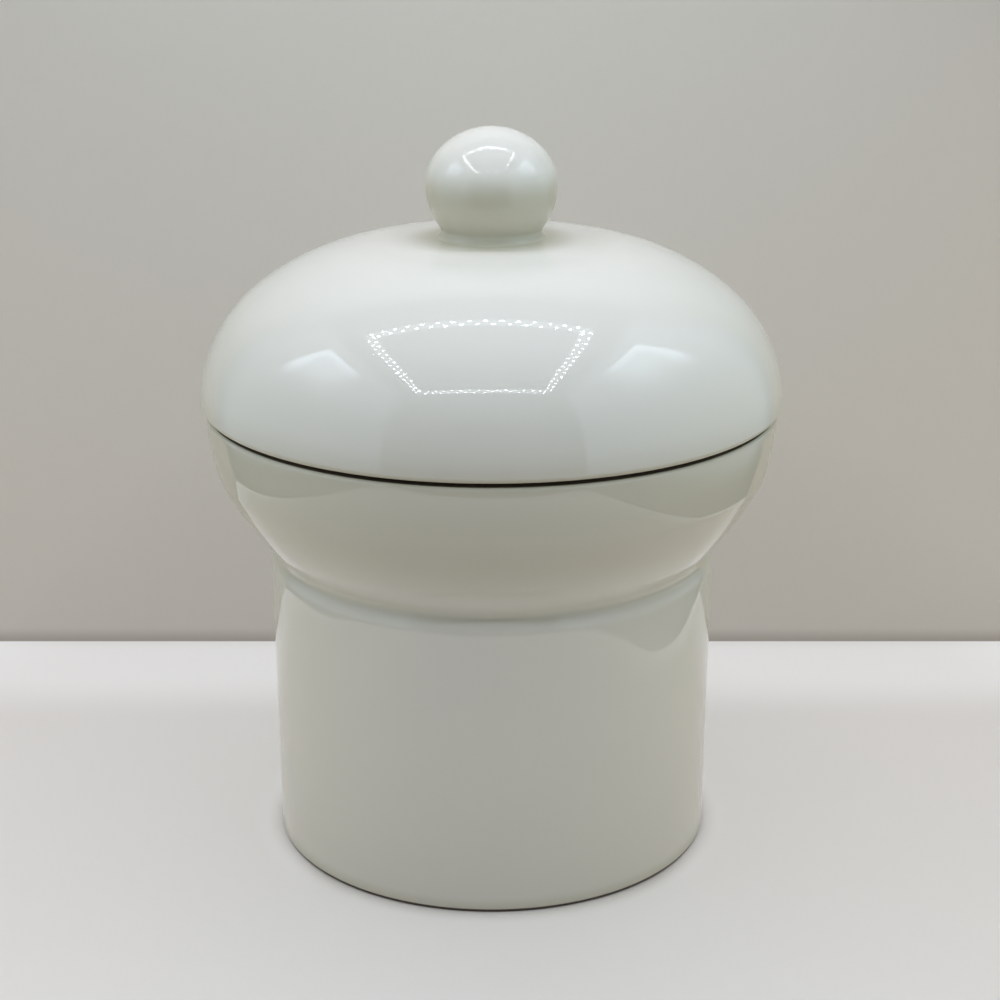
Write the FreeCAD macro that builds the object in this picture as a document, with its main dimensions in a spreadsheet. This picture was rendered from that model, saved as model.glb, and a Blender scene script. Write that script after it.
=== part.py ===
import FreeCAD, Part
import math
import os
import Sketcher

# A glazed stoneware garlic keeper: a jar, a domed lid that sits loose on its rim, and the ball
# knob that the potter sticks to the lid. Everything is turned about +Z. The origin is the centre
# of the foot, on the surface that the jar stands on. Sizes are in millimetres.

V = FreeCAD.Vector
DOCUMENT = FreeCAD.newDocument("garlic_keeper")

# alias, size and meaning. Radii are measured from the axis.
JAR_SIZES = [
    ("wall", 5.0, "thickness that the cast body keeps from foot to rim"),
    ("foot_recess", 1.5, "depth of the hollow under the base"),
    ("foot_inner_radius", 46.5, "inside of the foot ring"),
    ("foot_radius", 53.9, "outside of the body at the foot"),
    ("foot_edge_radius", 1.0, "rounding where the body meets the foot ring"),
    ("floor_height", 7.0, "top of the floor inside"),
    ("floor_corner_radius", 7.0, "curve from the floor into the inner wall"),
    ("side_top_radius", 54.3, "outside where the lower wall turns into the shoulder"),
    ("side_top_height", 68.0, "height of that turn"),
    ("neck_radius", 51.9, "outside at the root of the crease"),
    ("neck_height", 73.3, "height of that root"),
    ("crease_radius", 1.5, "hollow that the glaze fills in the crease"),
    ("neck_hollow_radius", 6.0, "curve inside, under the ridge of the neck"),
    ("flare_top_height", 93.2, "height where the flare turns up into the bowl's side"),
    ("bowl_turn_radius", 9.7, "radius of that turn"),
    ("bowl_side_height", 95.4, "height where the bowl's side starts, over the turn"),
    ("bowl_side_radius", 68.85, "arc of the bowl's side, about a point on the axis"),
    ("bowl_centre_height", 112.1, "height of that point, a little over the rim"),
    ("rim_height", 109.4, "top of the rim, where the lid sits"),
    ("rim_outer_edge_radius", 0.6, "rounding of the rim's outer edge"),
    ("rim_inner_edge_radius", 1.5, "rounding of the rim's inner edge"),
]

LID_SIZES = [
    ("lid_wall", 4.5, "thickness of the cast shell"),
    ("lid_radius", 69.8, "greatest outside radius, at the lower edge"),
    ("lid_relief", 0.9, "gap left over the rim outside the seat"),
    ("lid_edge_radius", 1.4, "rounding of the lower edge"),
    ("seat_radius", 66.0, "outside of the land that rests on the rim"),
    ("flange_radius", 62.2, "outside of the locating flange at the seat"),
    ("flange_tip_radius", 61.2, "outside of the flange at its tip"),
    ("flange_depth", 9.0, "reach of the flange into the mouth"),
    ("flange_tip_rounding", 1.8, "rounding of the flange's tip"),
    ("gutter_radius", 2.5, "curves of the hollow above the seat, inside"),
    ("dome_side_radius", 33.5, "arc of the dome's side"),
    ("dome_joint_height", 27.0, "height over the seat where the side arc ends"),
    ("dome_shoulder_radius", 55.0, "arc between the side and the crown"),
    ("crown_land_radius", 12.5, "flat place for the knob"),
    ("crown_height", 40.1, "height of that place over the seat"),
]

KNOB_SIZES = [
    ("knob_foot_radius", 12.4, "foot of the knob, on the crown"),
    ("knob_foot_curve_radius", 1.5, "hollow curve from the foot into the ball"),
    ("ball_radius", 15.5, "greatest radius of the ball"),
    ("ball_centre_height", 12.5, "height of that radius over the foot"),
    ("ball_top_radius", 17.0, "flatter arc over the top"),
    ("knob_height", 25.8, "top of the knob over its foot"),
]


def make_sheet():
    """The spreadsheet that holds every driving size."""
    sheet = DOCUMENT.addObject("Spreadsheet::Sheet", "Dimensions")
    rows = JAR_SIZES + LID_SIZES + KNOB_SIZES
    for row, (alias, size, meaning) in enumerate(rows, start=1):
        sheet.set("A%d" % row, alias)
        sheet.set("B%d" % row, str(size))
        sheet.set("C%d" % row, meaning)
        sheet.setAlias("B%d" % row, alias)
    DOCUMENT.recompute()
    return sheet


SHEET = make_sheet()


def size(alias):
    return float(SHEET.get(alias))


# ---- drawing ---------------------------------------------------------------------------------


class Edge:
    """One line or arc of an outline, with the Sketcher numbers of the ends it is walked from."""

    def __init__(self, number, start=1, end=2):
        self.number = number
        self.start = (number, start)
        self.end = (number, end)
        self.centre = (number, 3)


class Outline:
    """A closed outline beside the axis: x is the radius and y the height."""

    ORIGIN = (-1, 1)
    AXIS = -2

    def __init__(self, body, name):
        self.sketch = body.newObject("Sketcher::SketchObject", name)
        planes = [plane for plane in body.Origin.OriginFeatures if plane.Role == "XZ_Plane"]
        self.sketch.AttachmentSupport = (planes[0], [""])
        self.sketch.MapMode = "FlatFace"

    def line(self, start, end):
        return Edge(self.sketch.addGeometry(Part.LineSegment(start, end)))

    def arc(self, start, end, centre):
        """The short arc from start to end. Sketcher always stores it anticlockwise."""
        circle = Part.Circle(centre, V(0, 0, 1), (start - centre).Length)
        from_angle = math.atan2(start.y - centre.y, start.x - centre.x)
        to_angle = math.atan2(end.y - centre.y, end.x - centre.x)
        anticlockwise = (start - centre).cross(end - centre).z > 0
        if anticlockwise:
            return Edge(self.sketch.addGeometry(Part.ArcOfCircle(circle, from_angle, to_angle)))
        number = self.sketch.addGeometry(Part.ArcOfCircle(circle, to_angle, from_angle))
        return Edge(number, start=2, end=1)

    def fix(self, kind, *where):
        return self.sketch.addConstraint(Sketcher.Constraint(kind, *where))

    def corner(self, before, after):
        self.fix("Coincident", *before.end, *after.start)

    def smooth(self, *edges):
        """Joins each edge to the next end to end, with no kink."""
        for before, after in zip(edges, edges[1:]):
            self.fix("Tangent", *before.end, *after.start)

    def drive(self, kind, *where, by):
        """Adds a size and binds it to the sheet; by is an expression in its aliases."""
        number = self.fix(kind, *where, float(self.sketch.evalExpression(by)))
        name = "size_%d" % number
        self.sketch.renameConstraint(number, name)
        self.sketch.setExpression("Constraints." + name, by)

    def radius_of(self, arc, by):
        self.drive("Radius", arc.number, by=by)

    def distance_out(self, point, by):
        self.drive("DistanceX", *self.ORIGIN, *point, by=by)

    def height_of(self, point, by):
        self.drive("DistanceY", *self.ORIGIN, *point, by=by)

    def depth_of(self, point, by):
        self.drive("DistanceY", *point, *self.ORIGIN, by=by)

    def on_axis(self, *points):
        for point in points:
            self.fix("PointOnObject", *point, self.AXIS)

    def level(self, *lines):
        for line in lines:
            self.fix("Horizontal", line.number)

    def upright(self, *lines):
        for line in lines:
            self.fix("Vertical", line.number)

    def same_centre(self, inner, outer):
        self.fix("Coincident", *inner.centre, *outer.centre)


def unit(vector):
    return vector / vector.Length


def turned_left(vector):
    return V(-vector.y, vector.x, 0)


def rolling_radius(point, inward, hollow_centre, hollow_radius):
    """Radius of the arc that starts at point, square to inward, and ends smoothly on the hollow."""
    span = hollow_centre - point
    return (span.dot(span) - hollow_radius ** 2) / (2 * (hollow_radius + span.dot(inward)))


def towards(start, target, distance):
    return start + unit(target - start) * distance


def outermost(centre, radius, height):
    """The point of the circle about centre that is at this height, on the side away from the axis."""
    return V(centre.x + math.sqrt(radius ** 2 - (height - centre.y) ** 2), height, 0)


# ---- solids ----------------------------------------------------------------------------------


def new_body(label):
    body = DOCUMENT.addObject("PartDesign::Body", label)
    body.Label = label
    return body


def revolve(body, outline):
    DOCUMENT.recompute()
    feature = body.newObject("PartDesign::Revolution", body.Label + "_turned")
    feature.Profile = outline.sketch
    feature.ReferenceAxis = (outline.sketch, ["V_Axis"])
    feature.Angle = 360
    DOCUMENT.recompute()
    return feature


def rings_at(feature, radius, height):
    """Names of the full-circle edges of the feature at this radius and height."""
    names = []
    for number, edge in enumerate(feature.Shape.Edges, start=1):
        if edge.Degenerated or not isinstance(edge.Curve, Part.Circle):
            continue
        level = abs(edge.Curve.Center.z - height) < 0.01
        if level and abs(edge.Curve.Radius - radius) < 0.01:
            names.append("Edge%d" % number)
    return names


def round_ring(body, base, radius, height, by):
    """Rounds the ring edge of base at this radius and height by the named size."""
    rings = rings_at(base, radius, height)
    if len(rings) != 1:
        raise RuntimeError("%s has %d edges at %.2f, %.2f" % (body.Label, len(rings), radius, height))
    fillet = body.newObject("PartDesign::Fillet", body.Label + "_" + by)
    fillet.Base = (base, rings)
    fillet.setExpression("Radius", "Dimensions." + by)
    DOCUMENT.recompute()
    return fillet


# ---- jar -------------------------------------------------------------------------------------


def draw_jar_wall(body):
    """Half section of the jar: up the outside, over the rim and down the inside.

    Three arcs make the bowl and a small hollow the crease. The inside arcs share their centres, so
    the wall keeps its thickness round the bowl and over the ridge that the crease leaves inside.
    """
    out = Outline(body, "jar_section")
    wall = size("wall")

    # outside, from the foot to the rim
    recess = V(0, size("foot_recess"), 0)
    recess_edge = V(size("foot_inner_radius"), size("foot_recess"), 0)
    foot_inner = V(size("foot_inner_radius"), 0, 0)
    foot_outer = V(size("foot_radius"), 0, 0)
    side_top = V(size("side_top_radius"), size("side_top_height"), 0)
    crease_centre = V(size("neck_radius") + size("crease_radius"), size("neck_height"), 0)

    side_inward = turned_left(unit(side_top - foot_outer))
    shoulder_radius = rolling_radius(side_top, side_inward, crease_centre, size("crease_radius"))
    shoulder_centre = side_top + side_inward * shoulder_radius
    crease_low = towards(crease_centre, shoulder_centre, size("crease_radius"))

    bowl_centre = V(0, size("bowl_centre_height"), 0)
    bowl_radius = size("bowl_side_radius")
    bowl_start = outermost(bowl_centre, bowl_radius, size("bowl_side_height"))
    turn_centre = towards(bowl_start, bowl_centre, size("bowl_turn_radius"))
    flare_top = outermost(turn_centre, size("bowl_turn_radius"), size("flare_top_height"))
    flare_inward = unit(turn_centre - flare_top)
    flare_radius = rolling_radius(flare_top, flare_inward, crease_centre, size("crease_radius"))
    flare_centre = flare_top + flare_inward * flare_radius
    crease_high = towards(crease_centre, flare_centre, size("crease_radius"))

    # the rim, with both its edges rounded
    rounding = size("rim_outer_edge_radius")
    rounding_centre = outermost(bowl_centre, bowl_radius - rounding, size("rim_height") - rounding)
    outer_edge_foot = towards(bowl_centre, rounding_centre, bowl_radius)
    rim_outer = rounding_centre + V(0, rounding, 0)
    inner_rounding = size("rim_inner_edge_radius")
    inner_radius = bowl_radius - wall + inner_rounding
    inner_rounding_centre = outermost(bowl_centre, inner_radius, size("rim_height") - inner_rounding)
    inner_edge_foot = towards(bowl_centre, inner_rounding_centre, bowl_radius - wall)
    rim_inner = inner_rounding_centre + V(0, inner_rounding, 0)

    # inside, from the rim to the floor
    inner_bowl_start = towards(bowl_start, bowl_centre, wall)
    inner_flare_top = towards(flare_top, turn_centre, wall)
    ridge_radius = size("crease_radius") + wall
    ridge_high = towards(crease_centre, flare_centre, ridge_radius)
    inner_side_radius = side_top.x - wall
    hollow_radius = size("neck_hollow_radius")
    hollow_reach = crease_centre.x - inner_side_radius + hollow_radius
    hollow_rise = math.sqrt((ridge_radius + hollow_radius) ** 2 - hollow_reach ** 2)
    hollow_centre = crease_centre - V(hollow_reach, hollow_rise, 0)
    ridge_low = towards(crease_centre, hollow_centre, ridge_radius)
    inner_side_top = hollow_centre + V(hollow_radius, 0, 0)
    corner_radius = size("floor_corner_radius")
    corner_centre = V(inner_side_radius - corner_radius, size("floor_height") + corner_radius, 0)
    inner_side_foot = corner_centre + V(corner_radius, 0, 0)
    floor_edge = corner_centre - V(0, corner_radius, 0)
    floor_centre = V(0, size("floor_height"), 0)

    ceiling = out.line(recess, recess_edge)
    recess_side = out.line(recess_edge, foot_inner)
    foot_face = out.line(foot_inner, foot_outer)
    side = out.line(foot_outer, side_top)
    shoulder = out.arc(side_top, crease_low, shoulder_centre)
    crease = out.arc(crease_low, crease_high, crease_centre)
    flare = out.arc(crease_high, flare_top, flare_centre)
    turn = out.arc(flare_top, bowl_start, turn_centre)
    bowl_side = out.arc(bowl_start, outer_edge_foot, bowl_centre)
    outer_edge = out.arc(outer_edge_foot, rim_outer, rounding_centre)
    rim = out.line(rim_outer, rim_inner)
    inner_edge = out.arc(rim_inner, inner_edge_foot, inner_rounding_centre)
    inner_bowl_side = out.arc(inner_edge_foot, inner_bowl_start, bowl_centre)
    inner_turn = out.arc(inner_bowl_start, inner_flare_top, turn_centre)
    inner_flare = out.arc(inner_flare_top, ridge_high, flare_centre)
    ridge = out.arc(ridge_high, ridge_low, crease_centre)
    hollow = out.arc(ridge_low, inner_side_top, hollow_centre)
    inner_side = out.line(inner_side_top, inner_side_foot)
    floor_corner = out.arc(inner_side_foot, floor_edge, corner_centre)
    floor_face = out.line(floor_edge, floor_centre)
    axis = out.line(floor_centre, recess)

    for before, after in ((ceiling, recess_side), (recess_side, foot_face), (foot_face, side),
                          (floor_face, axis), (axis, ceiling)):
        out.corner(before, after)
    out.smooth(side, shoulder, crease, flare, turn, bowl_side, outer_edge, rim, inner_edge, inner_bowl_side)
    out.smooth(inner_bowl_side, inner_turn, inner_flare, ridge, hollow, inner_side, floor_corner, floor_face)
    out.level(ceiling, foot_face, rim, floor_face)
    out.upright(recess_side, axis)
    out.on_axis(axis.start, bowl_side.centre)

    out.height_of(ceiling.end, "Dimensions.foot_recess")
    out.distance_out(foot_face.start, "Dimensions.foot_inner_radius")
    out.fix("PointOnObject", *foot_face.start, -1)
    out.distance_out(side.start, "Dimensions.foot_radius")
    out.distance_out(side.end, "Dimensions.side_top_radius")
    out.height_of(side.end, "Dimensions.side_top_height")
    out.distance_out(crease.centre, "Dimensions.neck_radius + Dimensions.crease_radius")
    out.height_of(crease.centre, "Dimensions.neck_height")
    out.radius_of(crease, "Dimensions.crease_radius")
    out.height_of(flare.end, "Dimensions.flare_top_height")
    out.radius_of(turn, "Dimensions.bowl_turn_radius")
    out.height_of(bowl_side.start, "Dimensions.bowl_side_height")
    out.height_of(bowl_side.centre, "Dimensions.bowl_centre_height")
    out.radius_of(bowl_side, "Dimensions.bowl_side_radius")
    out.radius_of(outer_edge, "Dimensions.rim_outer_edge_radius")
    out.height_of(rim.start, "Dimensions.rim_height")
    out.radius_of(inner_edge, "Dimensions.rim_inner_edge_radius")

    out.same_centre(inner_turn, turn)
    out.same_centre(inner_flare, flare)
    out.same_centre(ridge, crease)
    out.same_centre(inner_bowl_side, bowl_side)
    out.drive("Distance", *bowl_side.start, *inner_bowl_side.end, by="Dimensions.wall")
    out.fix("Parallel", inner_side.number, side.number)
    out.drive("Distance", *inner_side.start, side.number, by="Dimensions.wall")
    out.radius_of(hollow, "Dimensions.neck_hollow_radius")
    out.radius_of(floor_corner, "Dimensions.floor_corner_radius")
    out.height_of(floor_face.end, "Dimensions.floor_height")
    return out


def make_jar():
    body = new_body("jar")
    section = draw_jar_wall(body)
    jar = revolve(body, section)
    round_ring(body, jar, size("foot_radius"), 0, "foot_edge_radius")
    return body


# ---- lid -------------------------------------------------------------------------------------


def draw_lid_shell(body):
    """Half section of the lid, from the flange's tip round the dome and back inside.

    Heights are over the seat. The land on the rim is narrower than the rim, so the lower edge
    stands clear of it and leaves a dark line between lid and jar. The cast wall follows the
    outside: it leaves a gutter over the seat before it goes down the flange.
    """
    out = Outline(body, "lid_section")
    wall = size("lid_wall")

    tip_outer = V(size("flange_tip_radius"), -size("flange_depth"), 0)
    flange_top = V(size("flange_radius"), 0, 0)
    seat_outer = V(size("seat_radius"), 0, 0)
    relief_inner = V(size("seat_radius"), size("lid_relief"), 0)
    side_radius = size("dome_side_radius")
    side_centre = V(size("lid_radius") - side_radius, size("lid_relief"), 0)
    edge_radius = size("lid_edge_radius")
    edge_centre = outermost(side_centre, side_radius - edge_radius, side_centre.y + edge_radius)
    underside_end = edge_centre - V(0, edge_radius, 0)
    side_foot = towards(side_centre, edge_centre, side_radius)
    joint = outermost(side_centre, side_radius, size("dome_joint_height"))
    shoulder_centre = towards(joint, side_centre, size("dome_shoulder_radius"))
    land_edge = V(size("crown_land_radius"), size("crown_height"), 0)
    crown_centre = crown_arc_centre(shoulder_centre, land_edge)
    crown_joint = towards(crown_centre, shoulder_centre, (land_edge - crown_centre).Length)
    land_centre = V(0, size("crown_height"), 0)

    inner_crown = V(0, crown_centre.y + (land_edge - crown_centre).Length - wall, 0)
    inner_crown_joint = towards(crown_joint, crown_centre, wall)
    inner_joint = towards(joint, side_centre, wall)
    gutter_radius = size("gutter_radius")
    gutter_centre = outermost(side_centre, side_radius - wall - gutter_radius, wall + gutter_radius)
    gutter_top = towards(side_centre, gutter_centre, side_radius - wall)
    gutter_foot = gutter_centre - V(0, gutter_radius, 0)
    flange_inward = turned_left(unit(flange_top - tip_outer))
    flange_inner_radius = flange_top.x - wall
    lip_centre = V(flange_inner_radius + gutter_radius, wall - gutter_radius, 0)
    lip_top = lip_centre + V(0, gutter_radius, 0)
    lip_side = lip_centre + flange_inward * gutter_radius
    tip_inner = V(tip_outer.x + wall / flange_inward.x, tip_outer.y, 0)

    tip = out.line(tip_inner, tip_outer)
    flange = out.line(tip_outer, flange_top)
    seat = out.line(flange_top, seat_outer)
    relief = out.line(seat_outer, relief_inner)
    underside = out.line(relief_inner, underside_end)
    edge = out.arc(underside_end, side_foot, edge_centre)
    side = out.arc(side_foot, joint, side_centre)
    shoulder = out.arc(joint, crown_joint, shoulder_centre)
    crown = out.arc(crown_joint, land_edge, crown_centre)
    land = out.line(land_edge, land_centre)
    axis = out.line(land_centre, inner_crown)
    inner_top = out.arc(inner_crown, inner_crown_joint, crown_centre)
    inner_shoulder = out.arc(inner_crown_joint, inner_joint, shoulder_centre)
    inner_dome_side = out.arc(inner_joint, gutter_top, side_centre)
    gutter = out.arc(gutter_top, gutter_foot, gutter_centre)
    shelf = out.line(gutter_foot, lip_top)
    lip = out.arc(lip_top, lip_side, lip_centre)
    inner_flange = out.line(lip_side, tip_inner)

    for before, after in ((tip, flange), (flange, seat), (seat, relief), (relief, underside),
                          (crown, land), (land, axis), (axis, inner_top), (inner_flange, tip)):
        out.corner(before, after)
    out.smooth(underside, edge, side, shoulder, crown)
    out.smooth(inner_top, inner_shoulder, inner_dome_side, gutter, shelf, lip, inner_flange)
    out.level(tip, seat, underside, land, shelf)
    out.upright(relief, axis)
    out.on_axis(axis.start, crown.centre)

    out.depth_of(tip.end, "Dimensions.flange_depth")
    out.distance_out(tip.end, "Dimensions.flange_tip_radius")
    out.distance_out(flange.end, "Dimensions.flange_radius")
    out.fix("PointOnObject", *flange.end, -1)
    out.distance_out(seat.end, "Dimensions.seat_radius")
    out.height_of(underside.end, "Dimensions.lid_relief")
    out.radius_of(edge, "Dimensions.lid_edge_radius")
    out.distance_out(side.centre, "Dimensions.lid_radius - Dimensions.dome_side_radius")
    out.height_of(side.centre, "Dimensions.lid_relief")
    out.radius_of(side, "Dimensions.dome_side_radius")
    out.height_of(side.end, "Dimensions.dome_joint_height")
    out.radius_of(shoulder, "Dimensions.dome_shoulder_radius")
    out.distance_out(land.start, "Dimensions.crown_land_radius")
    out.height_of(land.start, "Dimensions.crown_height")

    out.same_centre(inner_top, crown)
    out.same_centre(inner_shoulder, shoulder)
    out.same_centre(inner_dome_side, side)
    out.drive("Distance", *side.end, *inner_shoulder.end, by="Dimensions.lid_wall")
    out.radius_of(gutter, "Dimensions.gutter_radius")
    out.height_of(shelf.start, "Dimensions.lid_wall")
    out.radius_of(lip, "Dimensions.gutter_radius")
    out.fix("Parallel", inner_flange.number, flange.number)
    out.drive("Distance", *inner_flange.end, flange.number, by="Dimensions.lid_wall")
    return out


def crown_arc_centre(shoulder_centre, land_edge):
    """Centre, on the axis, of the arc through land_edge that carries on from the shoulder arc.

    Two arcs that touch have centres as far apart as their radii differ. With the centre at height
    c, that makes the crown's radius offset - slope * c, and leaves a quadratic in c.
    """
    radius = size("dome_shoulder_radius")
    offset = (radius ** 2 + land_edge.dot(land_edge) - shoulder_centre.dot(shoulder_centre)) / (2 * radius)
    slope = (land_edge.y - shoulder_centre.y) / radius
    square = slope ** 2 - 1
    half_linear = land_edge.y - offset * slope
    constant = offset ** 2 - land_edge.dot(land_edge)
    root = math.sqrt(half_linear ** 2 - square * constant)
    return V(0, (-root - half_linear) / square, 0)


def make_lid():
    body = new_body("lid")
    section = draw_lid_shell(body)
    lid = revolve(body, section)
    round_ring(body, lid, size("flange_tip_radius"), -size("flange_depth"), "flange_tip_rounding")
    body.setExpression("Placement.Base.z", "Dimensions.rim_height")
    return body


# ---- knob ------------------------------------------------------------------------------------


def draw_knob(body):
    """Half section of the knob: a ball, a little flat on top, on a short hollow neck."""
    out = Outline(body, "knob_section")
    ball_centre = V(0, size("ball_centre_height"), 0)
    ball_radius = size("ball_radius")
    curve_radius = size("knob_foot_curve_radius")
    foot_centre = V(0, 0, 0)
    foot_edge = V(size("knob_foot_radius"), 0, 0)
    curve_centre = circle_meeting(foot_edge, curve_radius, ball_centre, ball_radius + curve_radius)
    neck_top = towards(ball_centre, curve_centre, ball_radius)
    equator = ball_centre + V(ball_radius, 0, 0)
    top = V(0, size("knob_height"), 0)
    top_radius = size("ball_top_radius")
    top_centre = top - V(0, top_radius, 0)
    drop = ball_centre.y - top_centre.y
    side_radius = (top_radius ** 2 - ball_radius ** 2 - drop ** 2) / (2 * (top_radius - ball_radius))
    side_centre = equator - V(side_radius, 0, 0)
    side_top = towards(top_centre, side_centre, top_radius)

    foot = out.line(foot_centre, foot_edge)
    neck = out.arc(foot_edge, neck_top, curve_centre)
    underside = out.arc(neck_top, equator, ball_centre)
    side = out.arc(equator, side_top, side_centre)
    crown = out.arc(side_top, top, top_centre)
    axis = out.line(top, foot_centre)

    out.corner(foot, neck)
    out.smooth(neck, underside, side, crown)
    out.corner(crown, axis)
    out.corner(axis, foot)
    out.level(foot)
    out.fix("Coincident", *foot.start, *out.ORIGIN)
    out.on_axis(axis.start, underside.centre, crown.centre)

    out.distance_out(foot.end, "Dimensions.knob_foot_radius")
    out.radius_of(neck, "Dimensions.knob_foot_curve_radius")
    out.height_of(underside.centre, "Dimensions.ball_centre_height")
    out.radius_of(underside, "Dimensions.ball_radius")
    out.fix("Horizontal", *underside.centre, *underside.end)
    out.radius_of(crown, "Dimensions.ball_top_radius")
    out.height_of(axis.start, "Dimensions.knob_height")
    return out


def circle_meeting(point, radius, centre, distance):
    """Centre of the outer circle of this radius through point, at this distance from centre."""
    span = point - centre
    along = (span.dot(span) + distance ** 2 - radius ** 2) / (2 * span.Length)
    across = math.sqrt(distance ** 2 - along ** 2)
    return centre + unit(span) * along + turned_left(unit(span)) * across


def make_knob():
    body = new_body("knob")
    revolve(body, draw_knob(body))
    body.setExpression("Placement.Base.z", "Dimensions.rim_height + Dimensions.crown_height")
    return body


# ---- checks and files ------------------------------------------------------------------------


def check_document():
    for item in DOCUMENT.Objects:
        if "Invalid" in item.State or "Error" in item.State:
            raise RuntimeError("%s did not build" % item.Label)
        if item.TypeId == "Sketcher::SketchObject" and not item.FullyConstrained:
            raise RuntimeError("%s isn't fully constrained" % item.Label)


def write_parts(bodies):
    os.makedirs("parts", exist_ok=True)
    for body in bodies:
        shape = body.Shape
        if shape.isNull() or not shape.isValid() or len(shape.Solids) != 1:
            raise RuntimeError("%s isn't one valid solid" % body.Label)
        shape.exportStep("parts/%s.step" % body.Label)


BODIES = [make_jar(), make_lid(), make_knob()]
DOCUMENT.recompute()
check_document()
write_parts(BODIES)
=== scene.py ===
import math

import bmesh
import bpy
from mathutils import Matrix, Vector


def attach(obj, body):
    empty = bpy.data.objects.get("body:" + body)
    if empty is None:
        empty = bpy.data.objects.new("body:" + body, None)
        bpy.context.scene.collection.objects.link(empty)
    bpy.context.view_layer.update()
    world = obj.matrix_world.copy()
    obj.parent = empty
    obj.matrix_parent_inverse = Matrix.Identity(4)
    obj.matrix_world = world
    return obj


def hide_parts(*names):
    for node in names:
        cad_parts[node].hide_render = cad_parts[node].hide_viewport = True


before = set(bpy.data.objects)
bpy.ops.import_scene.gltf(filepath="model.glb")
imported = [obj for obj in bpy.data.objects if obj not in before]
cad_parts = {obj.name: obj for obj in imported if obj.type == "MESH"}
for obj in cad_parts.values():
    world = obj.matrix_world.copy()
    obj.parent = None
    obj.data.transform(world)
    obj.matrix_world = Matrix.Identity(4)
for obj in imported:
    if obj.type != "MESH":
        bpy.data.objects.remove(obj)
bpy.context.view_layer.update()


# ---- Jar --------------------------------------------------------------------------------------
# Slip-cast stoneware with a wall of about 5 mm: a straight lower wall, a small shoulder over a
# soft crease, then a flared bowl with a short band under the flat rim. The glaze is wiped off the
# foot ring. The bare clay there, and round the foot's edge, is painted near black: painted shade for
# the contact line under the foot. The rim's top inside its outer edge is drawn as the same bare clay:
# painted shade for the gap under the lid.

mm = 0.001


def rounded(corners, longest=1.6 * mm, sharpest=math.radians(7)):
    """Turns corners, each a radius, a height and a rounding in mm, into a fine line in metres."""
    places = [Vector((corner[0], corner[1])) * mm for corner in corners]
    roundings = [corner[2] * mm if len(corner) > 2 else 0.0 for corner in corners]
    reach = [0.0] * len(places)
    turns = [0.0] * len(places)
    for i in range(1, len(places) - 1):
        before = places[i] - places[i - 1]
        after = places[i + 1] - places[i]
        turns[i] = before.angle_signed(after)
        reach[i] = roundings[i] * math.tan(abs(turns[i]) / 2)
    for i in range(len(places) - 1):
        length = (places[i + 1] - places[i]).length
        wanted = reach[i] + reach[i + 1]
        if wanted > length:
            reach[i] *= length / wanted
            reach[i + 1] *= length / wanted
    line = [places[0]]
    for i in range(1, len(places) - 1):
        into = (places[i] - places[i - 1]).normalized()
        out = (places[i + 1] - places[i]).normalized()
        start = places[i] - into * reach[i]
        end = places[i] + out * reach[i]
        line += straight(line[-1], start, longest)
        if reach[i] > 0:
            line += curve(start, into, end, turns[i], reach[i], longest, sharpest)
    line += straight(line[-1], places[-1], longest)
    return line


def straight(start, end, longest, coarser=2.5, shortest=0.02 * mm):
    """Evenly spaced points after start, up to and with end, coarser than those on a curve."""
    length = (end - start).length
    if length < shortest:
        return []
    count = max(1, math.ceil(length / (coarser * longest)))
    return [start.lerp(end, step / count) for step in range(1, count + 1)]


def curve(start, heading, end, turn, reach, longest, sharpest):
    """Points of the arc from start to end, after start."""
    radius = reach / math.tan(abs(turn) / 2)
    side = Vector((heading.y, -heading.x)) * math.copysign(1, turn)
    centre = start + side * radius
    spoke = start - centre
    count = max(2, math.ceil(abs(turn) * radius / longest), math.ceil(abs(turn) / sharpest))
    points = []
    for step in range(1, count):
        angle = -turn * step / count
        swung = Vector((spoke.x * math.cos(angle) - spoke.y * math.sin(angle),
                        spoke.x * math.sin(angle) + spoke.y * math.cos(angle)))
        points.append(centre + swung)
    return points + [end]


def turned(name, line, around=224, on_axis=0.01 * mm):
    """Spins a section line about +Z into a closed mesh of rings, with one point at each pole."""
    mesh = bmesh.new()
    rings = []
    for point in line:
        if point.x < on_axis:
            rings.append([mesh.verts.new((0, 0, point.y))])
            continue
        ring = []
        for step in range(around):
            angle = 2 * math.pi * step / around
            ring.append(mesh.verts.new((point.x * math.cos(angle), point.x * math.sin(angle), point.y)))
        rings.append(ring)
    for lower, upper in zip(rings, rings[1:]):
        for step in range(around):
            after = (step + 1) % around
            if len(lower) == 1:
                mesh.faces.new((lower[0], upper[after], upper[step]))
            elif len(upper) == 1:
                mesh.faces.new((lower[step], lower[after], upper[0]))
            else:
                mesh.faces.new((lower[step], lower[after], upper[after], upper[step]))
    bmesh.ops.recalc_face_normals(mesh, faces=mesh.faces)
    data = bpy.data.meshes.new(name)
    mesh.to_mesh(data)
    mesh.free()
    data.shade_smooth()
    piece = bpy.data.objects.new(name, data)
    bpy.context.scene.collection.objects.link(piece)
    return piece


jar_outline = [
    (0, 1.5),                # recess under the floor
    (46.5, 1.5, 0.7),
    (46.5, 0, 0.6),          # foot ring
    (53.9, 0, 1.0),
    (54.31, 71.00, 5.5),     # shoulder
    (52.45, 73.90, 3.0),     # crease
    (60.43, 82.83, 85.06),   # flare of the bowl
    (66.51, 94.25, 9.7),
    (68.44, 101.99, 68.85),  # band
    (68.80, 109.4, 1.0),     # rim
    (63.81, 109.4, 1.5),
    (63.35, 102.22, 63.85),
    (61.80, 96.05, 4.7),
    (56.34, 85.78, 80.06),
    (44.94, 73.86, 6.5),     # throat
    (49.30, 67.89, 6.0),
    (48.94, 7.0, 7.0),       # floor
    (0, 7.0),
]


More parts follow.
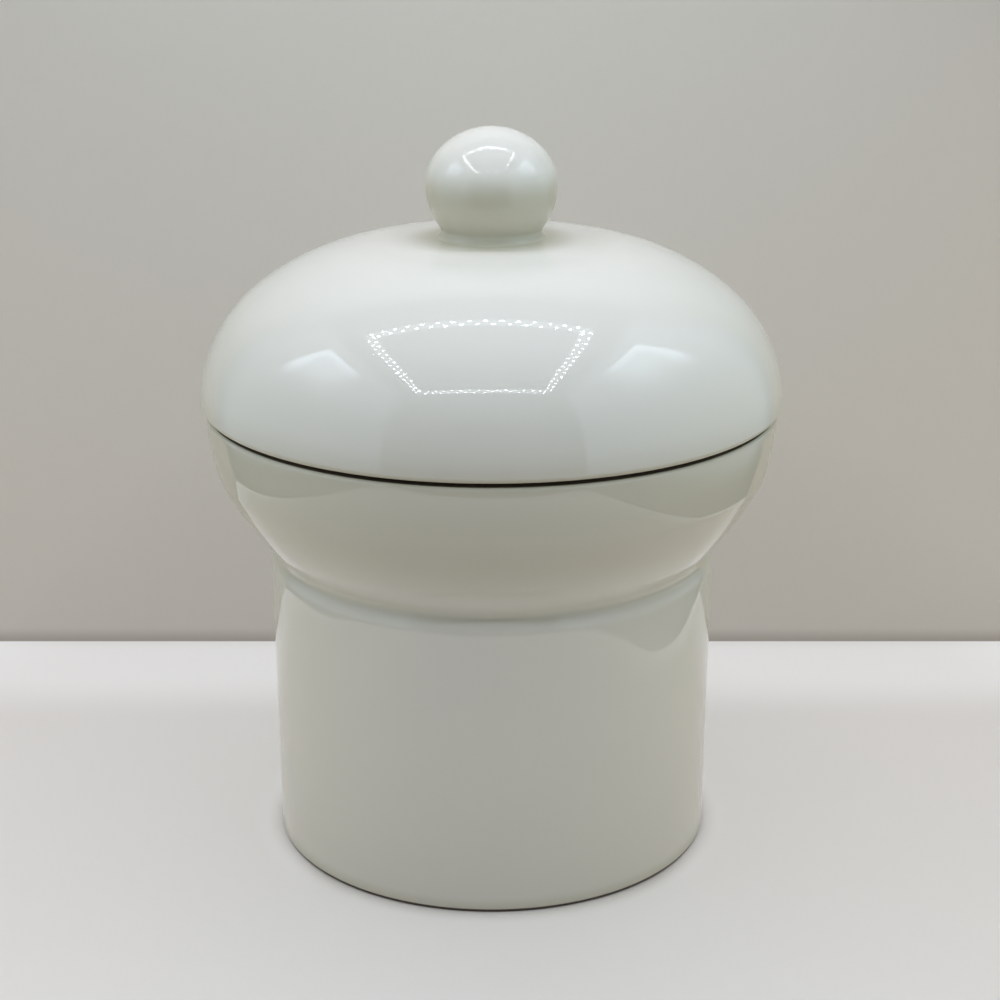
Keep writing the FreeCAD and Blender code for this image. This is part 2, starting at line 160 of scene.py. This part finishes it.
class Wire:
    """A shader socket that can stand in sums and products: each one adds a Math node."""

    def __init__(self, tree, socket=None):
        self.tree = tree
        self.socket = socket

    def node(self, kind, settings, inputs, output=0):
        """Any other node, from its type, its settings, and the values or wires of its sockets."""
        made = self.tree.nodes.new(kind)
        for name, value in settings.items():
            setattr(made, name, value)
        for name, value in inputs.items():
            if isinstance(value, Wire):
                self.tree.links.new(value.socket, made.inputs[name])
            else:
                made.inputs[name].default_value = value
        return Wire(self.tree, made.outputs[output] if made.outputs else None)

    def beside(self, output):
        """Another output of the node that this wire comes from."""
        return Wire(self.tree, self.socket.node.outputs[output])

    def maths(self, operation, *others):
        return self.node("ShaderNodeMath", {"operation": operation}, dict(enumerate((self, *others))))

    def __add__(self, other):
        return self.maths("ADD", other)

    def __sub__(self, other):
        return self.maths("SUBTRACT", other)

    def __rsub__(self, other):
        return self.maths("MULTIPLY_ADD", -1.0, other)

    def __mul__(self, other):
        return self.maths("MULTIPLY", other)

    __radd__ = __add__
    __rmul__ = __mul__

    def ramp(self, low, high):
        """0 below low and 1 above high, with a soft step between them."""
        settings = {"interpolation_type": "SMOOTHSTEP"}
        return self.node("ShaderNodeMapRange", settings, {"Value": self, "From Min": low, "From Max": high})

    def blend(self, first, second):
        """The colour first where this is 0 and second where it is 1."""
        settings = {"data_type": "RGBA", "clamp_factor": True}
        return self.node("ShaderNodeMix", settings, {0: self, 6: first, 7: second}, output=2)


def new_material(name):
    """A material with nothing in it, and the wire that its nodes are made from."""
    material = bpy.data.materials.new(name)
    material.use_nodes = True
    material.node_tree.nodes.clear()
    return material, Wire(material.node_tree)


ivory = (0.80, 0.785, 0.715, 1)
thin_ivory = (0.83, 0.80, 0.72, 1)
# Painted shade: a darker ivory, laid where the glaze sits in shade.
painted_shade_ivory = (0.59, 0.56, 0.44, 1)
speck_brown = (0.30, 0.24, 0.17, 1)
# Bare clay, painted near black: painted shade for the contact line under the foot and the gap under the lid.
shade_dark_clay = (0.09, 0.065, 0.05, 1)
glaze_roughness = 0.03
clay_roughness = 0.73
glaze_bending = 1.52
cloud_size = 26 * mm
cloud_strength = 0.35
ripple_size = 5 * mm
ripple_height = 0.012 * mm
grain_size = 0.5 * mm
grain_height = 0.06 * mm
speck_spacing = 16 * mm
speck_size = (0.011, 0.019)
speck_strength = 0.5
speck_depth = 0.05 * mm


def glazed(name, bare_and_shade, shade_mask):
    """Ivory glaze over stoneware, faintly clouded and rippled, with a few brown pinholes.

    The first mask says where the clay is bare, which also stands as near-black painted shade, and
    the second where the glaze is painted darker as shade: each takes the distance from the axis and
    the height, as wires in metres, and gives a mask.
    """
    material, start = new_material(name)
    place = start.node("ShaderNodeTexCoord", {}, {}, output="Object")
    across = start.node("ShaderNodeSeparateXYZ", {}, {0: place})
    along = across.beside("Y")
    height = across.beside("Z")
    radius = (across * across + along * along).maths("SQRT")
    clay_and_shade = bare_and_shade(radius, height)
    painted_shade = shade_mask(radius, height)

    def noise(size, detail=2.0):
        inputs = {"Vector": place, "Scale": 1 / size, "Detail": detail}
        return start.node("ShaderNodeTexNoise", {"noise_dimensions": "3D"}, inputs)

    cloud = noise(cloud_size).ramp(0.35, 0.65)
    grain = noise(grain_size, 4.0)
    ripple = noise(ripple_size, 1.0)
    spread = {"Vector": place, "Scale": 1 / speck_spacing, "Randomness": 1.0}
    speck = 1 - start.node("ShaderNodeTexVoronoi", {}, spread).ramp(*speck_size)

    colour = (cloud_strength * cloud).blend(ivory, thin_ivory)
    # Painted shade: the darker ivory where the glaze sits in shade, then the near-black bare clay.
    colour = painted_shade.blend(colour, painted_shade_ivory)
    colour = (speck_strength * speck).blend(colour, speck_brown)
    colour = clay_and_shade.blend(colour, shade_dark_clay)

    relief = ripple * ripple_height * (1 - clay_and_shade) + grain * grain_height * clay_and_shade - speck * speck_depth
    bump = start.node("ShaderNodeBump", {}, {"Height": relief, "Distance": 1.0, "Strength": 1.0})

    shader = start.node("ShaderNodeBsdfPrincipled", {}, {
        "Base Color": colour,
        "Roughness": glaze_roughness + (clay_roughness - glaze_roughness) * clay_and_shade,
        "IOR": glaze_bending,
        "Normal": bump,
    })
    start.node("ShaderNodeOutputMaterial", {}, {"Surface": shader})
    return material


# Painted shade: the bare, near-black clay reaches up round the foot's edge for a contact line, and covers
# the rim's top for the gap under the lid.
foot_bare_and_shaded_to = (0.7 * mm, 1.0 * mm)
foot_wiped_from = (44 * mm, 46 * mm)
rim_shade_from = (108.9 * mm, 109.0 * mm)
rim_shade_to = (68.1 * mm, 68.35 * mm)
# Painted shade: the glaze is painted darker on the bowl, in the crease and just above the foot.
bowl_shade = 0.6
bowl_shaded_above = (74 * mm, 90 * mm)
crease_shade = 0.3
crease_shaded_above = (71.5 * mm, 73.5 * mm)
crease_shaded_below = (74.5 * mm, 77.5 * mm)
base_shade = 0.55
base_shaded_below = (0.5 * mm, 4 * mm)


def bare_foot_and_shaded_rim(radius, height):
    foot = (1 - height.ramp(*foot_bare_and_shaded_to)) * radius.ramp(*foot_wiped_from)
    rim = height.ramp(*rim_shade_from) * (1 - radius.ramp(*rim_shade_to))
    return foot.maths("MAXIMUM", rim)


def shade_on_jar(radius, height):
    bowl = bowl_shade * height.ramp(*bowl_shaded_above)
    crease = crease_shade * height.ramp(*crease_shaded_above) * (1 - height.ramp(*crease_shaded_below))
    base = base_shade * (1 - height.ramp(*base_shaded_below))
    return bowl + crease + base


jar = turned("jar_body", rounded(jar_outline))
jar.data.materials.append(glazed("jar_glaze", bare_foot_and_shaded_rim, shade_on_jar))
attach(jar, "jar")
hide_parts("jar")


# ---- Lid --------------------------------------------------------------------------------------
# A cast dome that rests loose on the jar's rim by a narrow land, with a flange inside the mouth to
# keep it in place and its outer edge a little clear of the rim. It is fired standing on the land
# and the flange's tip, so both stay bare, in the near-black clay colour that is painted shade.
# The glaze is painted darker round the knob's foot, low on the dome and on the lip: painted shade.

lid_outline = [
    (0, 145.3),              # hollow under the crown
    (14.2, 145.3, 260.1),
    (42.98, 142.14, 50.5),
    (62.23, 126.65, 29.0),
    (65.25, 113.9, 2.5),
    (58.17, 113.9, 2.5),     # flange
    (56.67, 100.4, 1.6),
    (61.2, 100.4, 1.8),
    (62.2, 109.4, 0.6),      # land
    (66.0, 109.4, 0.3),
    (66.0, 110.3, 0.4),      # edge, clear of the rim
    (69.83, 110.3, 1.4),     # lip
    (69.11, 126.90, 33.5),   # dome
    (44.78, 146.47, 55.0),
    (20.68, 149.11, 264.6),
    (12.5, 149.5),           # crown, under the knob
    (0, 149.5),
]

land_height = (109.6 * mm, 109.9 * mm)
land_inside = (61.6 * mm, 62.0 * mm)
flange_tip = (101.2 * mm, 101.8 * mm)
# Painted shade: darker glaze round the knob's foot, low on the dome's edge and on the lip.
ring_round_knob = (13 * mm, 22 * mm)
crown_height = (147 * mm, 148 * mm)
edge_shade = 0.45
edge_shaded_below = (109 * mm, 118 * mm)
lip_shade = 0.5
lip_shaded_below = (110.8 * mm, 111.8 * mm)


def bare_seat(radius, height):
    land = (1 - height.ramp(*land_height)) * radius.ramp(*land_inside)
    tip = 1 - height.ramp(*flange_tip)
    return land.maths("MAXIMUM", tip)


def shade_on_lid(radius, height):
    round_knob = (1 - radius.ramp(*ring_round_knob)) * height.ramp(*crown_height)
    edge = edge_shade * (1 - height.ramp(*edge_shaded_below))
    lip = lip_shade * (1 - height.ramp(*lip_shaded_below))
    return round_knob + edge + lip


lid = turned("lid_dome", rounded(lid_outline))
lid.data.materials.append(glazed("lid_glaze", bare_seat, shade_on_lid))
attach(lid, "lid")
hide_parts("lid")


# ---- Knob -------------------------------------------------------------------------------------
# A stoneware ball made by itself, a little flatter on top, stuck to the crown with slip before the
# firing. Its underside and the hollow round its foot are painted darker: painted shade.

knob_outline = [
    (0, 148.7),              # sunk in the crown
    (16.0, 149.1),
    (10.5, 149.56, 1.6),     # hollow round the foot
    (15.5, 156.25, 15.5),
    (15.5, 166.58, 11.56),
    (7.357, 175.3, 17.0),
    (0, 175.3),
]

knob_finest = 0.9 * mm
knob_around = 128
knob_joint = (149.2 * mm, 149.3 * mm)
# Painted shade: the glaze is painted darker under the ball, most at its waist and foot.
knob_shaded_below = (160 * mm, 167 * mm)
knob_low_shade = 0.65
knob_waist = (152 * mm, 159 * mm)
knob_foot = (150.2 * mm, 151.2 * mm)


def bare_under_knob(radius, height):
    return 1 - height.ramp(*knob_joint)


def shade_on_knob(radius, height):
    waist = height.ramp(*knob_waist)
    foot = 1 - height.ramp(*knob_foot)
    amount = knob_low_shade + (1 - knob_low_shade) * (waist + foot)
    return (1 - height.ramp(*knob_shaded_below)) * amount


knob = turned("knob_ball", rounded(knob_outline, longest=knob_finest), around=knob_around)
knob.data.materials.append(glazed("knob_glaze", bare_under_knob, shade_on_knob))
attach(knob, "lid")
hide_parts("knob")


# ---- Bench and backdrop -----------------------------------------------------------------------
# A pale bench that fades into a pale room past the tent, and a pale board upright behind the jar,
# with a painted shadow line along its foot. The board shows only its front, so the jar is seen from
# behind too.

board_distance = 0.113
tent_left = -0.221
tent_right = 0.179
tent_middle = (tent_left + tent_right) / 2
tent_front = -0.287
tent_top = 0.400
bench_half = 3.0
bench_colour = (0.82, 0.77, 0.715, 1)
bench_roughness = 0.6
board_colour = (0.675, 0.638, 0.575, 1)
# Painted shadow line along the board's foot.
board_foot_shade_colour = (0.44, 0.40, 0.34, 1)
board_roughness = 0.8
pale_room = (0.93, 0.945, 0.965, 1)


def sheet(name, corners, material):
    data = bpy.data.meshes.new(name)
    data.from_pydata(corners, [], [(0, 1, 2, 3)])
    data.materials.append(material)
    made = bpy.data.objects.new(name, data)
    bpy.context.scene.collection.objects.link(made)
    return made


def looked_at(start):
    """1 for what the camera, the gloss or a glass shows, and 0 for the light between surfaces."""
    seen = start.node("ShaderNodeLightPath", {}, {}, output="Is Camera Ray")
    gloss = seen.beside("Is Glossy Ray")
    glass = seen.beside("Is Transmission Ray")
    return seen.maths("MAXIMUM", gloss).maths("MAXIMUM", glass)


# Painted light: what the camera and the glaze see of the bench is lifted toward the pale room. The lift is
# missing at the jar's foot, a painted contact shadow; it is stronger beside the foot and toward the board, a
# painted pool of light; and it grows to the full pale room farther out.
bench_lift = 0.27
shade_at_foot = (0.053, 0.059)
side_lift = 0.13
side_of_foot = (0.038, 0.050)
side_lift_from = (0.053, 0.054)
side_lift_to = (0.054, 0.062)
back_lift = 0.22
back_lift_from = (0.055, 0.085)
past_tent = (0.175, 0.199)
far_from_jar = (0.16, 0.29)

bench_finish, start = new_material("bench_finish")
bench_place = start.node("ShaderNodeTexCoord", {}, {}, output="Object")
from_jar = start.node("ShaderNodeVectorMath", {"operation": "LENGTH"}, {0: bench_place}, output="Value")
across = start.node("ShaderNodeSeparateXYZ", {}, {0: bench_place})
depth = across.beside("Y")
beside_foot = across.maths("ABSOLUTE").ramp(*side_of_foot)
beside_foot = beside_foot * (from_jar.ramp(*side_lift_from) - from_jar.ramp(*side_lift_to))
lift = bench_lift * from_jar.ramp(*shade_at_foot) + side_lift * beside_foot
lift = lift + back_lift * depth.ramp(*back_lift_from) + (1 - bench_lift) * from_jar.ramp(*far_from_jar)
past_sides = (across - tent_middle).maths("ABSOLUTE").ramp(*past_tent)
past_board = depth.maths("GREATER_THAN", board_distance)
lift = lift.maths("MAXIMUM", past_sides).maths("MAXIMUM", past_board)
stone = {"Base Color": bench_colour, "Roughness": bench_roughness}
worktop = start.node("ShaderNodeBsdfPrincipled", {}, stone)
pale = start.node("ShaderNodeEmission", {}, {"Color": pale_room, "Strength": 1.0})
bench_shader = start.node("ShaderNodeMixShader", {}, {0: looked_at(start) * lift, 1: worktop, 2: pale})
start.node("ShaderNodeOutputMaterial", {}, {"Surface": bench_shader})
sheet("bench", [(-bench_half, -bench_half, 0), (bench_half, -bench_half, 0),
                (bench_half, bench_half, 0), (-bench_half, bench_half, 0)], bench_finish)

# Painted light: the board is lifted toward the pale room, most at its foot and fading out 300 mm up.
board_lift = 0.10
board_lift_fades = (-0.02, 0.30)
board_foot_shade_fades = (0.0, 0.005)

board_finish, start = new_material("board_finish")
board_place = start.node("ShaderNodeTexCoord", {}, {}, output="Object")
board_height = start.node("ShaderNodeSeparateXYZ", {}, {0: board_place}, output="Z")
paint_with_foot_shade = board_height.ramp(*board_foot_shade_fades).blend(board_foot_shade_colour, board_colour)
paint = {"Base Color": paint_with_foot_shade, "Roughness": board_roughness}
painted = start.node("ShaderNodeBsdfPrincipled", {}, paint)
pale = start.node("ShaderNodeEmission", {}, {"Color": pale_room, "Strength": 1.0})
clear = start.node("ShaderNodeBsdfTransparent", {}, {})
behind = start.node("ShaderNodeNewGeometry", {}, {}, output="Backfacing")
lift = board_lift * (1 - board_height.ramp(*board_lift_fades))
front = start.node("ShaderNodeMixShader", {}, {0: looked_at(start) * lift, 1: painted, 2: pale})
board_shader = start.node("ShaderNodeMixShader", {}, {0: behind, 1: front, 2: clear})
start.node("ShaderNodeOutputMaterial", {}, {"Surface": board_shader})
sheet("board", [(tent_left, board_distance, 0), (tent_right, board_distance, 0),
                (tent_right, board_distance, tent_top), (tent_left, board_distance, tent_top)], board_finish)


# ---- Light tent -------------------------------------------------------------------------------
# A white cloth tent, 400 mm each way, with a black front curtain and a square of small lamps
# under its ceiling. Soft lamps give its light, and sheets that only the glaze shows give its look.

def soft_lamp(name, size, place, facing, watts, share=1.0):
    """A lamp that the glaze doesn't show. watts is its power in red, green and blue."""
    light = bpy.data.lights.new(name, "AREA")
    light.shape = "RECTANGLE"
    light.size = size[0]
    light.size_y = size[1]
    light.color = watts
    light.energy = share
    lamp = bpy.data.objects.new(name, light)
    lamp.location = place
    lamp.rotation_euler = Vector(facing).to_track_quat("-Z", "Y").to_euler()
    lamp.visible_camera = False
    lamp.visible_glossy = False
    bpy.context.scene.collection.objects.link(lamp)


square_middle = (-0.021, -0.122)
square_half = 0.140
strip_size = (0.29, 0.013)
strip_height = tent_top - 0.006
strip_watts = (0.258, 0.258, 0.280)
for step in range(4):
    angle = step * math.pi / 2
    x = square_middle[0] + math.sin(angle) * square_half
    y = square_middle[1] - math.cos(angle) * square_half
    size = strip_size if step % 2 == 0 else strip_size[::-1]
    soft_lamp("strip_lamp_%d" % step, size, (x, y, strip_height), (0, 0, -1), strip_watts)

off_the_cloth = 0.002
upper_size = (0.28, 0.18)
upper_place = (-0.14, 0.29)
upper_watts = (0.075, 0.125, 0.145)
lower_size = (0.40, 0.20)
lower_place = (-0.087, 0.10)
lower_watts = (0.090, 0.087, 0.072)
lower_share = 1.35
for side, wall, inward, upper_share in (("left", tent_left, 1, 1.1), ("right", tent_right, -1, 1.25)):
    x = wall + inward * off_the_cloth
    facing = (inward, 0, 0)
    soft_lamp("upper_%s_lamp" % side, upper_size, (x, *upper_place), facing, upper_watts, upper_share)
    soft_lamp("lower_%s_lamp" % side, lower_size, (x, *lower_place), facing, lower_watts, lower_share)

back_size = (0.4, 0.4)
back_place = (tent_middle, board_distance - 0.004, tent_top / 2)
back_watts = (0.065, 0.070, 0.090)
soft_lamp("back_lamp", back_size, back_place, (0, -1, 0), back_watts)


def only_in_gloss(made):
    made.visible_camera = False
    made.visible_diffuse = False
    made.visible_transmission = False
    made.visible_volume_scatter = False
    made.visible_shadow = False
    for slot in made.material_slots:
        slot.material.cycles.emission_sampling = "NONE"


def plain_cloth(name, corners, look):
    material, start = new_material(name + "_look")
    glow = start.node("ShaderNodeEmission", {}, {"Color": look, "Strength": 1.0})
    start.node("ShaderNodeOutputMaterial", {}, {"Surface": glow})
    only_in_gloss(sheet(name, corners, material))


ceiling_look = (0.03, 0.04, 0.05, 1)
curtain_look = (0.01, 0.01, 0.01, 1)
plain_cloth("ceiling_cloth", [(tent_left, tent_front, tent_top), (tent_right, tent_front, tent_top),
                              (tent_right, board_distance, tent_top), (tent_left, board_distance, tent_top)],
            ceiling_look)
plain_cloth("front_curtain", [(tent_left, tent_front, 0), (tent_right, tent_front, 0),
                              (tent_right, tent_front, tent_top), (tent_left, tent_front, tent_top)],
            curtain_look)

side_look = (0.62, 0.72, 0.86, 1)
low_look = (0.12, 0.14, 0.16, 1)
low_to = (0.03, 0.06)
dimmer_at_back = 0.6
dimmer_from = (0.05, 0.10)
hot_look = (3.5, 4.1, 4.8, 1)
hot_back_edge = (-0.004, 0.012)
hot_top_edge = (0.346, 0.360)
upright_from = (-0.045, -0.004)
upright_above = (0.20, 0.27)
level_from = (-0.14, -0.08)
level_above = (0.295, 0.345)
corner_strength = 0.6
corner_from = (-0.15, -0.06)
corner_above = (0.20, 0.30)
creases_per_metre = 60.0


def side_cloth(name, x):
    """A creased side of the tent: dark along the bench, and hot in a bent band by the lamps."""
    material, start = new_material(name + "_look")
    place = start.node("ShaderNodeTexCoord", {}, {}, output="Object")
    across = start.node("ShaderNodeSeparateXYZ", {}, {0: place})
    depth = across.beside("Y")
    height = across.beside("Z")
    upright = depth.ramp(*upright_from) * height.ramp(*upright_above)
    level = height.ramp(*level_above) * depth.ramp(*level_from)
    corner = corner_strength * height.ramp(*corner_above) * depth.ramp(*corner_from)
    inputs = {"Vector": place, "Scale": creases_per_metre, "Detail": 3.0}
    creases = start.node("ShaderNodeTexNoise", {"noise_dimensions": "3D"}, inputs)
    within = (1 - depth.ramp(*hot_back_edge)) * (1 - height.ramp(*hot_top_edge))
    hot = within * upright.maths("MAXIMUM", level).maths("MAXIMUM", corner) * (0.7 + 0.5 * creases)
    lit = height.ramp(*low_to) * (1 - dimmer_at_back * depth.ramp(*dimmer_from))
    low_cloth = start.node("ShaderNodeEmission", {}, {"Color": low_look, "Strength": 1.0})
    side = start.node("ShaderNodeEmission", {}, {"Color": side_look, "Strength": 1.0})
    hot_cloth = start.node("ShaderNodeEmission", {}, {"Color": hot_look, "Strength": 1.0})
    cloth = start.node("ShaderNodeMixShader", {}, {0: lit, 1: low_cloth, 2: side})
    look = start.node("ShaderNodeMixShader", {}, {0: hot, 1: cloth, 2: hot_cloth})
    start.node("ShaderNodeOutputMaterial", {}, {"Surface": look})
    only_in_gloss(sheet(name, [(x, tent_front, 0), (x, board_distance, 0),
                               (x, board_distance, tent_top), (x, tent_front, tent_top)], material))


side_cloth("left_cloth", tent_left)
side_cloth("right_cloth", tent_right)


def lamp_square(name, height, pitch, rows_apart, chip, glow):
    """A square of small lamps in two staggered rows along each side, facing down."""
    mesh = bmesh.new()
    count = round(2 * square_half / pitch)
    for side in range(4):
        angle = side * math.pi / 2
        along = Vector((math.cos(angle), math.sin(angle), 0))
        outward = Vector((math.sin(angle), -math.cos(angle), 0))
        for step in range(count):
            shift = (step + 0.5) * pitch - square_half
            row = square_half + (rows_apart / 2 if step % 2 else -rows_apart / 2)
            middle = Vector((*square_middle, height)) + along * shift + outward * row
            corners = [middle + along * a * chip / 2 + outward * b * chip / 2
                       for a, b in ((-1, -1), (-1, 1), (1, 1), (1, -1))]
            mesh.faces.new([mesh.verts.new(corner) for corner in corners])
    data = bpy.data.meshes.new(name)
    mesh.to_mesh(data)
    mesh.free()
    material, start = new_material(name + "_look")
    light = start.node("ShaderNodeEmission", {}, {"Color": lamp_look, "Strength": glow})
    start.node("ShaderNodeOutputMaterial", {}, {"Surface": light})
    data.materials.append(material)
    made = bpy.data.objects.new(name, data)
    bpy.context.scene.collection.objects.link(made)
    only_in_gloss(made)


lamp_look = (0.92, 1.0, 1.07, 1)
lamps_per_side = 30
lamp_square("tent_lamps", tent_top - 0.004, pitch=2 * square_half / lamps_per_side, rows_apart=0.011,
            chip=0.0042, glow=60.0)
lamp_square("tent_strips", tent_top - 0.003, pitch=0.0104, rows_apart=0.0, chip=0.0208, glow=1.2)

no_light = (0.0, 0.0, 0.0, 1)
room = bpy.data.worlds.new("room")
room.use_nodes = True
room.node_tree.nodes.clear()
start = Wire(room.node_tree)
dark = start.node("ShaderNodeBackground", {}, {"Color": no_light, "Strength": 1.0})
pale = start.node("ShaderNodeBackground", {}, {"Color": pale_room, "Strength": 1.0})
backdrop = start.node("ShaderNodeMixShader", {}, {0: looked_at(start), 1: dark, 2: pale})
start.node("ShaderNodeOutputWorld", {}, {"Surface": backdrop})
bpy.context.scene.world = room


# ---- Camera -----------------------------------------------------------------------------------
# It stands before the tent's front curtain, higher than the jar, and looks down at it.

camera_data = bpy.data.cameras.new("camera")
camera_data.lens = 74.66
camera_data.sensor_width = 36
camera = bpy.data.objects.new("camera", camera_data)
camera.location = (0.00198, -0.48400, 0.24506)
camera.rotation_euler = (math.radians(71.58), 0, 0)
bpy.context.scene.collection.objects.link(camera)
bpy.context.scene.camera = camera
bpy.context.scene.view_settings.view_transform = "Standard"

bpy.context.view_layer.update()
